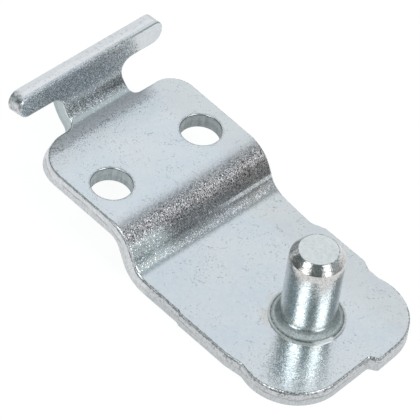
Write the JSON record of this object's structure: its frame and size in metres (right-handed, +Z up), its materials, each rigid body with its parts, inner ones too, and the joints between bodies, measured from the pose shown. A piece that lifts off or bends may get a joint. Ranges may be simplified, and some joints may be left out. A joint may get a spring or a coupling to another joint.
{
  "type": "door hinge",
  "caption": "Bent sheet-metal door hinge of a dishwasher: a joggled plate with fixing holes, a riveted hinge pin and a T-shaped hook.",
  "frame": {"origin": "hinge pin's axis where it meets the underside of the lower flat", "axes": "+Z up along the hinge pin, +X from the hook towards the pin's end of the plate, +Y across the plate"},
  "size_m": [0.0607, 0.0276, 0.0161],
  "materials": {
    "zinc_plated_sheet": "satin",
    "zinc_plated_pin": "gloss"
  },
  "bodies": {
    "root": {"bracket_plate": "zinc_plated_sheet", "hinge_pin": "zinc_plated_pin"}
  },
  "joints": []
}
